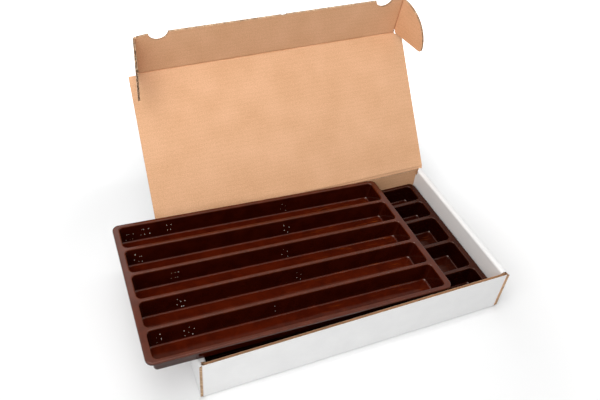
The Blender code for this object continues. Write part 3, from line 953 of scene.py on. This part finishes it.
def tray_place(name):
    """A tray's frame, in the middle of its rim, and its three sizes."""
    corners = np.array([vertex.co for vertex in frame["nodes"][name].data.vertices])
    unique = np.unique(corners.round(SAME_PLACE_DIGITS), axis=0)
    middle = unique.mean(0)
    _, _, axes = np.linalg.svd(unique - middle, full_matrices=False)
    long, wide = (Vector(axis * np.sign(axis[lead])) for axis, lead in zip(axes, (0, 1)))
    up = long.cross(wide)
    spots = [(corner - middle) @ np.array((long, wide, up)).T for corner in unique]
    low, high = np.min(spots, axis=0), np.max(spots, axis=0)
    along, across, _ = (float(at) for at in (low + high) / 2)
    centre = Vector(middle) + (long * along + wide * across) + up * float(high[2])
    length, width, depth = (float(size) for size in high - low)
    print(name, "size", round(length, 4), round(width, 4), round(depth, 4))
    return Matrix.Translation(centre) @ frame_of(long, wide, up), length, width, depth


LOWER_SKIRT = tray_place("lower_tray")[-1]
TRAY_DEPTH = tray_place("upper_tray")[-1]

# %% [markdown]
# Vacuum draws the warm sheet down into a mould, so every edge is round and every wall leans. A
# channel's wall is described by its steps from the rim to the floor: a quarter round for the lip,
# the leaning wall, and a round into the floor. Short holding steps keep the flat parts flat when
# the surface is shaded smooth.

# %% Channel profile
LIP = 0.0013
DRAFT = math.radians(7)
FLOOR_ROUND = 0.0022
HOLD = 0.0004
LIP_STEPS, FLOOR_STEPS = 4, 5


def channel_profile(depth):
    """Steps from rim to floor: how far the wall stands out from the nominal mouth, and how deep."""
    slope = math.tan(DRAFT)
    turn = math.pi / 2 - DRAFT
    lip_end = LIP * (1 - math.sin(DRAFT))
    lip_out = -lip_end * slope
    mouth = lip_out + LIP * math.cos(DRAFT)
    path = [(mouth + HOLD, 0)] + arc((mouth, LIP), LIP, -math.pi / 2, -turn, LIP_STEPS)
    path.append((path[-1][0] - HOLD * slope, path[-1][1] + HOLD))
    wall_end = depth - FLOOR_ROUND * (1 - math.sin(DRAFT))
    wall_out = lip_out - (wall_end - lip_end) * slope
    path.append((wall_out + HOLD * slope, wall_end - HOLD))
    floor_out = wall_out - FLOOR_ROUND * math.cos(DRAFT)
    path += arc((floor_out, depth - FLOOR_ROUND), FLOOR_ROUND, DRAFT, turn, FLOOR_STEPS)
    return path + [(floor_out - HOLD, depth)]


print("channel profile of", len(channel_profile(TRAY_DEPTH)), "steps")

# %% [markdown]
# Each loop of a tray starts as a plane with its corners bevelled, of which only the edge is kept.
# The edge is extruded down step by step and drawn in or out at each. Its round corners get
# tighter towards the floor, as they do where a sheet is drawn deep.

# %% Drawing a loop down
CORNER_SEGMENTS = 6


def rounded_plane(size_x, size_y, radius, middle_y):
    """In edit mode: the edge of a plane with round corners."""
    bpy.ops.mesh.select_all(action="DESELECT")
    centre = (0, middle_y, 0)
    bpy.ops.mesh.primitive_plane_add(size=1, location=centre)
    bpy.ops.transform.resize(value=(size_x, size_y, 1), center_override=centre)
    bpy.ops.mesh.bevel(offset=radius, segments=CORNER_SEGMENTS, affect="VERTICES")
    bpy.ops.mesh.delete(type="ONLY_FACE")
    half_x, half_y = size_x / 2, size_y / 2

    def on_edge(edge):
        at = middle_of(edge)
        x, y = abs(at.x), abs(at.y - middle_y)
        inside = x < half_x + SNAP and y < half_y + SNAP and abs(at.z) < SNAP
        return inside and (x > half_x - radius - SNAP or y > half_y - radius - SNAP)

    pick(on_edge)


def next_step(before, after, drop, middle_y):
    """Extrude the picked loop down, and draw its four round corners in or out.

    Before and after are the loop's half length, half width and corner radius.
    """
    bpy.ops.mesh.extrude_region_move(TRANSFORM_OT_translate={"value": (0, 0, -drop)})
    mesh = bpy.context.object.data
    shell = bmesh.from_edit_mesh(mesh)
    for corner in shell.verts:
        if corner.select:
            for axis, middle in ((0, 0), (1, middle_y)):
                way = math.copysign(1, corner.co[axis] - middle)
                round_off = abs(corner.co[axis] - middle) - before[axis] + before[2]
                corner.co[axis] = middle + way * (after[axis] - after[2] + round_off * after[2] / before[2])
    bmesh.update_edit_mesh(mesh)


def mould(length, width, middle_y, path):
    """Draw a loop down a path of steps out from its nominal size, down, and corner radius."""
    loops = [((length / 2 + out, width / 2 + out, radius), down) for out, down, radius in path]
    (half_x, half_y, radius), _ = loops[0]
    rounded_plane(2 * half_x, 2 * half_y, radius, middle_y)
    for (before, high), (after, low) in zip(loops, loops[1:]):
        next_step(before, after, low - high, middle_y)


# %% [markdown]
# A channel's last loop is closed by one face, its floor. The tray's own edge is drawn the other
# way, out over the rim and down into the skirt.

# %% Channels and outer edge
TRAY_CORNER = 0.0085
CHANNEL_CORNER = 0.0058
FLOOR_CORNER = 0.0032


def mould_channel(length, width, middle_y, depth):
    shrink = (CHANNEL_CORNER - FLOOR_CORNER) / depth
    path = [(out, down, CHANNEL_CORNER + max(out, 0) - shrink * down) for out, down in channel_profile(depth)]
    mould(length, width, middle_y, path)
    bpy.ops.mesh.edge_face_add()


def mould_edge(length, width, skirt):
    """The rim's outer edge rolls over and turns down into the skirt."""
    path = [(-LIP - HOLD, 0)] + arc((-LIP, LIP), LIP, -math.pi / 2, math.pi / 2, LIP_STEPS) + [(0, skirt)]
    mould(length, width, 0, [(out, down, TRAY_CORNER + out) for out, down in path])


# %% [markdown]
# A real tray is one sheet without a seam. So all its loops are drawn in one mesh, and one fill
# closes the rim between the channels' lips and the outer edge. The primitive that starts the mesh
# is emptied first. If the fill leaves the rim facing down, the whole sheet is turned over.

# %% Moulding a sheet
RIM_DIGITS = 6


def close_rim():
    """In edit mode: fill the flat rim, from the open edges that lie in its plane."""
    pick(lambda edge: len(edge.link_faces) < 2 and all(abs(end.co.z) < SNAP for end in edge.verts))
    bpy.ops.mesh.fill(use_beauty=True)
    bpy.ops.mesh.select_all(action="SELECT")
    bpy.ops.mesh.remove_doubles(threshold=SNAP)
    bpy.ops.mesh.normals_make_consistent(inside=False)


def moulded_sheet(name, length, width, shares, divider, skirt):
    """A tray's surface, without a thickness, and where the back wall of each channel stands."""
    tray = fresh(bpy.ops.mesh.primitive_plane_add, size=1)
    tray.name = name
    bpy.ops.object.mode_set(mode="EDIT")
    bpy.ops.mesh.select_all(action="SELECT")
    bpy.ops.mesh.delete(type="VERT")
    mould_edge(length, width, skirt)
    room = width - 2 * SIDE_RIM - (len(shares) - 1) * divider
    edge = width / 2 - SIDE_RIM
    backs = []
    for share in shares:
        channel = room * share / sum(shares)
        backs.append(edge)
        mould_channel(length - 2 * END_RIM, channel, edge - channel / 2, TRAY_DEPTH - TRAY_SHEET)
        edge -= channel + divider
    close_rim()
    bpy.ops.object.mode_set(mode="OBJECT")
    rim = max(tray.data.polygons, key=lambda face: (round(face.center.z, RIM_DIGITS), face.area))
    if rim.normal.z < 0:
        tray.data.flip_normals()
    return tray, backs


# %% [markdown]
# The plastic is glossy. Its colours hold painted light: the steep walls are painted nearly black,
# as shade in the channels, and the floors and the rim are redder; on the floors that red is partly
# painted light shining through the thin sheet. The sheet's clear coat is strongest where the walls
# turn into the floor, which gives the thin bright lines there. It is kept off the underside, where
# it made a pale veil, by an attribute named upper_face that is 1 only on the side that faces up.
# Streaks of painted orange reflection lie on the floors towards the right end. An attribute named
# mould keeps the place on the tray before it is laid in the box, and gives the depth. The sheet is
# never quite flat, so a soft bump bends its reflections.

# %% Plastic finish
# The wall colours are painted shade, darker than the rim; the floor colours are partly painted light that
# shines through the thin sheet.
SHADED_WALL_DARK, SHADED_WALL_PALE = (0.022, 0.0016, 0.0002), (0.034, 0.0030, 0.0005)
FLOOR_DARK, FLOOR_PALE = (0.046, 0.0034, 0.0003), (0.074, 0.0064, 0.0006)
RIM_DARK, RIM_PALE = (0.058, 0.0078, 0.0012), (0.084, 0.0122, 0.0024)
PAINTED_REFLECTION = (0.20, 0.036, 0.003)
WARM_GLOSS = (1, 0.42, 0.2)
LIP_FADE = (0.0005, 0.003)
REFLECTION_FADE = (-0.05, 0.16)
REFLECTION_GRAIN, RIPPLE_GRAIN = (34, 420, 0), (18, 70, 70)
FILLET_COAT, WALL_COAT, FLOOR_COAT = 4.2, 0.2, 0.12
SHEET_RELIEF = 0.0014


def brown_plastic(name, painted_shade, coat):
    """Brown sheet. Its colours are darkened by a painted shade, and the coat is the gloss of its rim."""
    finish = Finish(name, Specular_IOR_Level=0.15, Specular_Tint=WARM_GLOSS, Coat_Roughness=0.1)
    place = finish.mark("mould")
    depth = finish.part(place, "Z") * -1
    cloud = finish.noise(place, scale=60, detail=3, roughness=0.6)
    grit = finish.noise(place, scale=900, detail=2, roughness=0.6)
    ripple = finish.noise(place, scale=RIPPLE_GRAIN, detail=2, roughness=0.5)
    reflection_noise = finish.noise(place, scale=REFLECTION_GRAIN, detail=2, roughness=0.6)
    lip = 1 - depth.above(*LIP_FADE)
    floor = depth.above(TRAY_DEPTH - FLOOR_ROUND - TRAY_SHEET, TRAY_DEPTH - TRAY_SHEET)

    def shaded(colour):
        return tuple(painted_shade * part for part in colour)

    def clouded(dark, pale):
        return finish.blend(cloud.above(0.3, 0.7), shaded(dark), shaded(pale))

    # Orange streaks on the floors towards the right end are a painted reflection.
    reflection_streak = reflection_noise.above(0.57, 0.72) * finish.part(place, "X").above(*REFLECTION_FADE) * 0.75
    reflected_floor = finish.blend(reflection_streak, clouded(FLOOR_DARK, FLOOR_PALE), shaded(PAINTED_REFLECTION))
    # The steep walls take the painted shade colours, and the floors their partly painted light.
    colour = finish.blend(floor, clouded(SHADED_WALL_DARK, SHADED_WALL_PALE), reflected_floor)
    finish.feed("Base Color", finish.blend(lip, colour, clouded(RIM_DARK, RIM_PALE)))
    finish.feed("Roughness", grit * 0.05 + cloud * 0.04 + lip * 0.08 + 0.06)
    fillet = floor - floor * floor
    wall = (1 - lip) * (1 - floor)
    gloss = lip * coat + fillet * FILLET_COAT + wall * WALL_COAT + floor * FLOOR_COAT
    finish.feed("Coat Weight", (gloss * finish.mark("upper_face", "Fac")).limited())
    finish.feed("Normal", finish.bump(ripple + grit * 0.015, strength=0.3, distance=SHEET_RELIEF))
    return finish.material


# The lower tray's colours are darkened as painted shade, for the shade it lies in under the upper tray.
lower_finish = brown_plastic("lower_brown_sheet_in_painted_shade", painted_shade=0.42, coat=0.35)
upper_finish = brown_plastic("upper_brown_sheet", painted_shade=1.0, coat=0.5)
print("plastic:", lower_finish.name, upper_finish.name)

# %% [markdown]
# Small raised pips stand in loose columns on the back walls of the upper tray's channels. Their
# pale colour is a painted highlight: each is a small pale sphere of few faces that shows as a point
# of light. A column has two rows, and sines of its number spread the pips and vary their size,
# which gives the same result on each run.

# %% Pips with painted glints
PIP_RADIUS = 0.0004
PIP_DEPTHS = (0.0095, 0.0135, 0.0175, 0.0215)
PIP_STRAY = 0.0009
PIP_LEAST, PIP_MORE = 0.6, 0.6
MM_PER_METRE = 1000
PIP_COLUMNS = ((9, 13, 17, 28, 32, 38, 62, 66, 222, 229), (12, 17, 21, 210, 217), (48, 52, 56, 192, 199),
               (44, 49, 53, 194, 201), (11, 16, 43, 48, 53, 150))
# The pips' pale colour is a painted glint.
painted_glint_tips = Finish("painted_glint_tips", Base_Color=(0.92, 0.88, 0.85), Roughness=0.3).material


def press_pips(left, back, columns):
    """Pips on a channel's back wall, in columns at a number of millimetres from its left end."""
    pips = []
    for column in columns:
        for row, depth in enumerate(PIP_DEPTHS[column % 2::2]):
            pip = fresh(bpy.ops.mesh.primitive_ico_sphere_add, subdivisions=2, radius=PIP_RADIUS)
            along = left + column / MM_PER_METRE + PIP_STRAY * math.sin(2.3 * column + 2 * row)
            wall = back - depth * math.tan(DRAFT)
            size = PIP_LEAST + PIP_MORE * math.sin(1.7 * column + 2.9 * row) ** 2
            place = Matrix.Translation((along, wall, -depth)) @ Matrix.Diagonal((size, size, size, 1))
            pip.data.transform(place)
            pip.data.materials.append(painted_glint_tips)
            pips.append(pip)
    return pips


print("pip columns:", [len(columns) for columns in PIP_COLUMNS])

# %% [markdown]
# A tray is the moulded surface with the sheet's thickness from Solidify, which adds the underside
# as a second set of points after the first. That order tells the two faces apart. The pips are
# joined last, and then the whole is laid in the box.

# %% Trays
SHEET_SMOOTH = math.radians(35)


def make_tray(name, shares, divider, skirt, finish, pip_columns=()):
    place, length, width, _ = tray_place(name)
    tray, backs = moulded_sheet(name + "_sheet", length, width, shares, divider, skirt)
    shown = len(tray.data.vertices)
    apply(tray, "SOLIDIFY", thickness=TRAY_SHEET, offset=-1, use_even_offset=True)
    tray.data.materials.append(finish)
    for back, columns in zip(backs, pip_columns):
        join(tray.name, [tray] + press_pips(END_RIM - length / 2, back, columns))
    upper = tray.data.attributes.new("upper_face", "FLOAT", "POINT")
    for number, value in enumerate(upper.data):
        value.value = 0 if shown <= number < 2 * shown else 1
    mark_points(tray, "mould", lambda at: at)
    lay(tray, place, SHEET_SMOOTH)
    put(tray, name, "brown_plastic", name)


make_tray("lower_tray", LOWER_SHARES, LOWER_DIVIDER, LOWER_SKIRT, lower_finish)
make_tray("upper_tray", UPPER_SHARES, UPPER_DIVIDER, UPPER_SKIRT, upper_finish, PIP_COLUMNS)

# %% [markdown]
# The stage is a wide pale floor in a white room. To the camera, and in what gloss or glass would
# show of it, the floor also glows a little, hardly near the box and up to white far from it. So it
# looks like the paper of a studio sweep and still holds the box's shadow. The rays that light
# matt board don't meet the glow.

# %% Floor
FLOOR_SIZE, FLOOR_SINK = 40, 0.0002
PAPER_WHITE = (0.84, 0.84, 0.84)
GLOW_CENTRE = (-0.1, -0.05, 0)
GLOW_REACH = (0.3, 0.75)
NEAR_GLOW, FAR_GLOW = (0.03, 0.03, 0.03), (1.0, 1.0, 1.0)


def background_rays(nodes):
    """1 for a ray that comes from the camera, or by way of gloss or glass, and 0 for light."""
    kinds = [nodes.node("ShaderNodeLightPath", {}, output="Is %s Ray" % kind)
             for kind in ("Camera", "Glossy", "Transmission")]
    return (kinds[0] + kinds[1] + kinds[2]).limited()


def make_floor():
    floor = fresh(bpy.ops.mesh.primitive_plane_add, size=FLOOR_SIZE, location=(0, 0, -FLOOR_SINK))
    floor.name = "studio_floor"
    finish = Finish("studio_paper", Base_Color=PAPER_WHITE, Roughness=0.9)
    place = finish.node("ShaderNodeTexCoord", {}, output="Object")
    away = finish.node("ShaderNodeVectorMath", {"operation": "DISTANCE"}, place, GLOW_CENTRE, output="Value")
    paleness = finish.blend(away.above(*GLOW_REACH), NEAR_GLOW, FAR_GLOW)
    glow = finish.node("ShaderNodeEmission", {}, Color=paleness, Strength=background_rays(finish))
    both = finish.node("ShaderNodeAddShader", {}, Signal(finish, finish.shader.outputs[0]), glow)
    finish.plug(finish.tree.nodes["Material Output"].inputs["Surface"], both)
    floor.data.materials.append(finish.material)
    floor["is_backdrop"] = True
    print("floor glows from", GLOW_REACH[0], "to", GLOW_REACH[1], "m")


make_floor()

# %% [markdown]
# The world is white where it is seen, and dimmer as a light, so that it fills the shadows of the
# lamps without washing them out.

# %% World
WORLD_LIGHT = 0.36
world = bpy.data.worlds.new("studio")
bpy.context.scene.world = world
world.use_nodes = True
room = Nodes(world.node_tree)
backdrop = world.node_tree.nodes["Background"]
room.plug(backdrop.inputs["Color"], (1, 1, 1))
room.plug(backdrop.inputs["Strength"], background_rays(room) * (1 - WORLD_LIGHT) + WORLD_LIGHT)
print("world light", WORLD_LIGHT)

# %% [markdown]
# Large lamps give the soft light of a product studio: one overhead, a key and a fill from the
# left, a fill in front, and a softbox behind that the rims mirror. A narrow strip on the right
# gives the thin bright lines at the right ends of the channels.

# %% Lamps
LAMPS = (
    # name, place and target in metres, length and width in metres, power in watts
    ("overhead", (-0.15, 0.1, 1.4), (0, 0, 0), (1.2, 1.0), 5.2),
    ("strip", (0.35, 0.0, 1.3), (0.35, 0, 0), (1.5, 0.04), 2.0),
    ("left_key", (-0.55, -0.45, 1.2), (0, 0, 0.05), (1.0, 1.0), 9),
    ("left_fill", (-1.1, -0.5, 0.9), (0, 0, 0.1), (1.0, 1.0), 3.2),
    ("front_fill", (-0.1, -1.6, 0.7), (0, 0, 0.05), (1.2, 1.0), 2.3),
    ("back_softbox", (-0.25, 1.25, 1.4), (-0.1, 0, 0.05), (0.7, 0.5), 1.6),
)

for name, place, target, size, power in LAMPS:
    light = bpy.data.lights.new(name, "AREA")
    light.shape = "RECTANGLE"
    light.size, light.size_y = size
    light.energy = power
    lamp = bpy.data.objects.new(name, light)
    lamp.location = place
    lamp.rotation_euler = (Vector(target) - Vector(place)).to_track_quat("-Z", "Y").to_euler()
    bpy.context.scene.collection.objects.link(lamp)
    lamp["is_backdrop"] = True
print("lamps:", len(LAMPS))

# %% [markdown]
# The camera stands where the photograph was taken from, worked out from the box's corners. Its
# small shift is the part of the frame that the photograph was cropped by.

# %% Camera
CAMERA_PLACE = Vector((-0.2755, -0.4498, 0.6665))
CAMERA_AHEAD = Vector((0.2689, 0.7365, -0.6207)).normalized()
CAMERA_RIGHT = Vector((0.9452, -0.3257, 0.0230))
CAMERA_LENS, CAMERA_SENSOR = 36.614, 36
CAMERA_SHIFT = (0.0833, -0.1167)
NEAREST_SEEN = 0.01

lens = bpy.data.cameras.new("view")
lens.lens = CAMERA_LENS
lens.sensor_width = CAMERA_SENSOR
lens.shift_x, lens.shift_y = CAMERA_SHIFT
lens.clip_start = NEAREST_SEEN
camera = bpy.data.objects.new("view", lens)
right = (CAMERA_RIGHT - CAMERA_RIGHT.dot(CAMERA_AHEAD) * CAMERA_AHEAD).normalized()
turn = frame_of(right, right.cross(CAMERA_AHEAD), -CAMERA_AHEAD)
camera.matrix_world = Matrix.Translation(CAMERA_PLACE) @ turn
bpy.context.scene.collection.objects.link(camera)
bpy.context.scene.camera = camera
bpy.context.scene.view_settings.view_transform = "Standard"
print("camera lens", CAMERA_LENS, "mm")

# %% Print the sizes of the imported model's box and of the box that is seen
seen_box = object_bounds()
for name, (low, high) in (("packed", cad_box), ("seen", seen_box)):
    print(name, "size", [round(float(end - start), 4) for start, end in zip(low, high)])
